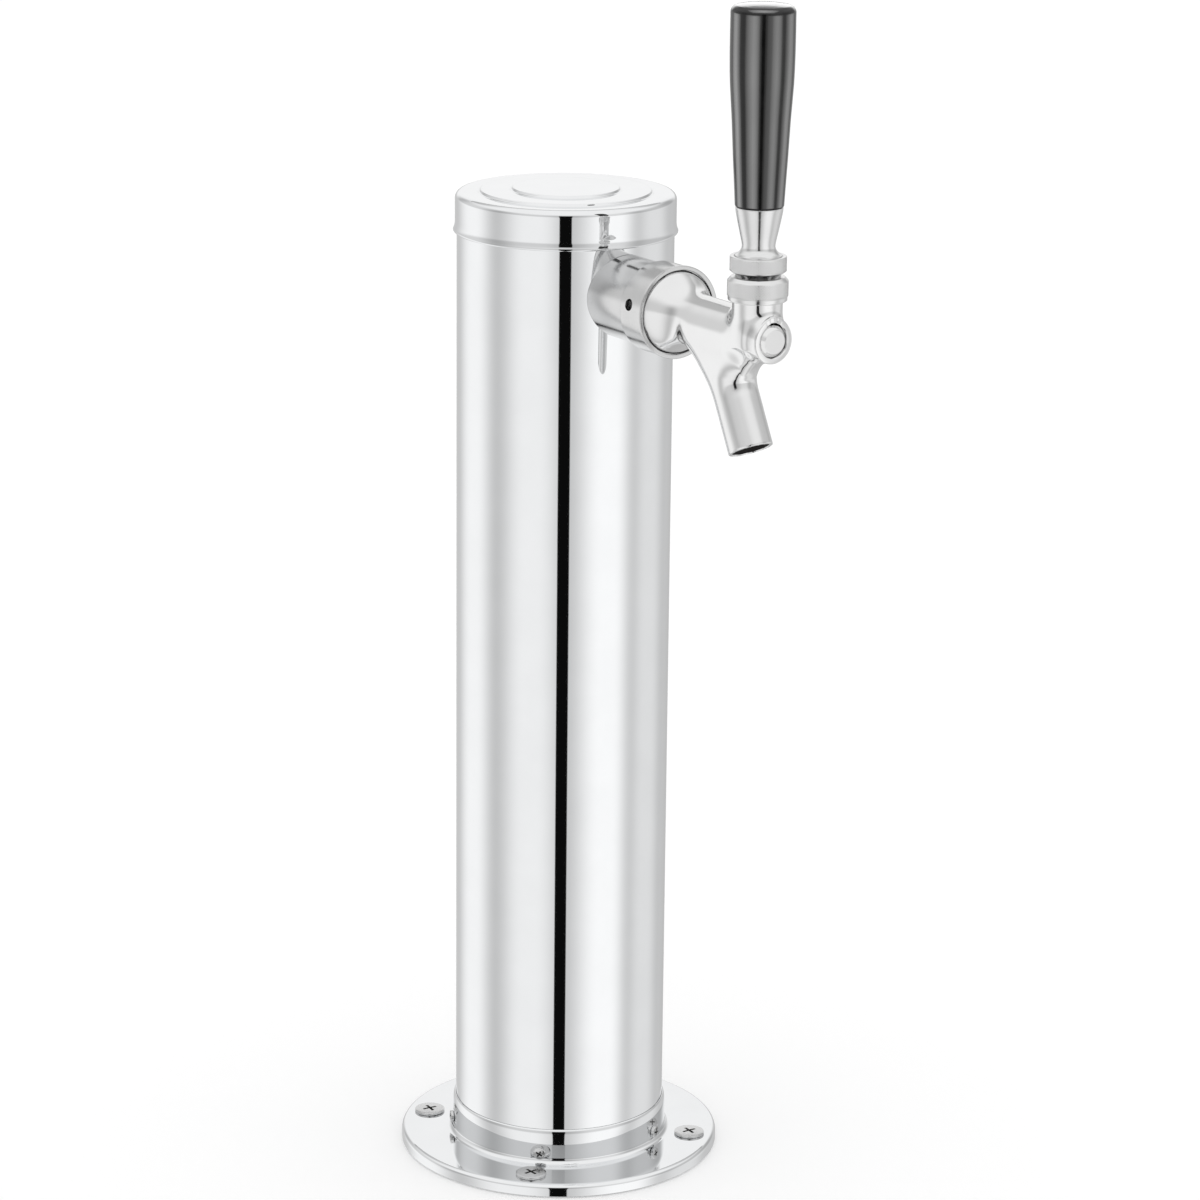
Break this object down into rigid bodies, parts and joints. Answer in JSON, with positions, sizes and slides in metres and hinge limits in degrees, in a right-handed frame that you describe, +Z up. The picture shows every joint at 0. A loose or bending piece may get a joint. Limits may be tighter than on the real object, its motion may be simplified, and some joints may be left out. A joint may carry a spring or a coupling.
{
  "type": "single faucet draft beer tower",
  "caption": "Polished draft column on a bolted round flange, with a shallow stepped cap and a slanted spout faucet opened by a black handled lever.",
  "frame": {"origin": "centre of the flange's underside, which is the counter's surface", "axes": "+Z up along the column; the faucet looks along -Y; +X is to the left of a person who faces the faucet from the front, so the part is mirror symmetric about the YZ plane but for its screws"},
  "size_m": [0.1164, 0.183, 0.4554],
  "materials": {
    "polished_steel": "mirror polished stainless steel",
    "satin_steel": "fine satin stainless steel",
    "screw_steel": "bright stainless steel",
    "faucet_chrome": "bright chrome plate",
    "brass": "plain turned brass",
    "rubber": "matte black rubber",
    "seat_nylon": "natural nylon",
    "insulation_foam": "open grained rigid foam",
    "grip_black": "glossy black moulded plastic"
  },
  "bodies": {
    "tower": {"base_flange": "polished_steel", "base_gasket": "rubber", "flange_screws": "screw_steel", "collar_screws": "screw_steel", "column_tube": "polished_steel", "foam_sleeve": "insulation_foam", "foam_plug": "insulation_foam", "shank": "satin_steel", "shank_collar": "satin_steel", "inner_spacer": "satin_steel", "spacer_washer": "satin_steel", "shank_lock_nut": "satin_steel", "tail_washer": "rubber", "tail_elbow": "faucet_chrome", "tail_nut": "satin_steel", "coupling_nut": "satin_steel", "faucet_gasket": "rubber", "faucet_body": "faucet_chrome", "ball_seat": "seat_nylon", "friction_ring": "seat_nylon", "bonnet": "faucet_chrome"},
    "cap": {"top_cap": "polished_steel", "cap_seal": "rubber"},
    "lever": {"lever": "faucet_chrome", "lever_collar": "faucet_chrome", "handle_ferrule": "faucet_chrome", "handle_stud": "brass", "handle_grip": "grip_black"},
    "valve": {"shaft": "faucet_chrome", "seat_washer": "rubber", "shaft_nut": "brass"}
  },
  "joints": [
    {"name": "cap_lift", "type": "slide", "parent": "tower", "child": "cap", "axis": [0, 0, 1], "range_m": [0, 0.03]},
    {"name": "lever_tilt", "type": "hinge", "parent": "tower", "child": "lever", "pos_m": [0, -0.1142, 0.337], "axis": [1, 0, 0], "range_deg": [0, 24]},
    {"name": "valve_slide", "type": "slide", "parent": "tower", "child": "valve", "axis": [0, 1, 0], "range_m": [0, 0.0055]}
  ],
  "couplings": [
    {"joint": "valve_slide", "follows": "lever_tilt", "m_per_rad": 0.012868}
  ]
}
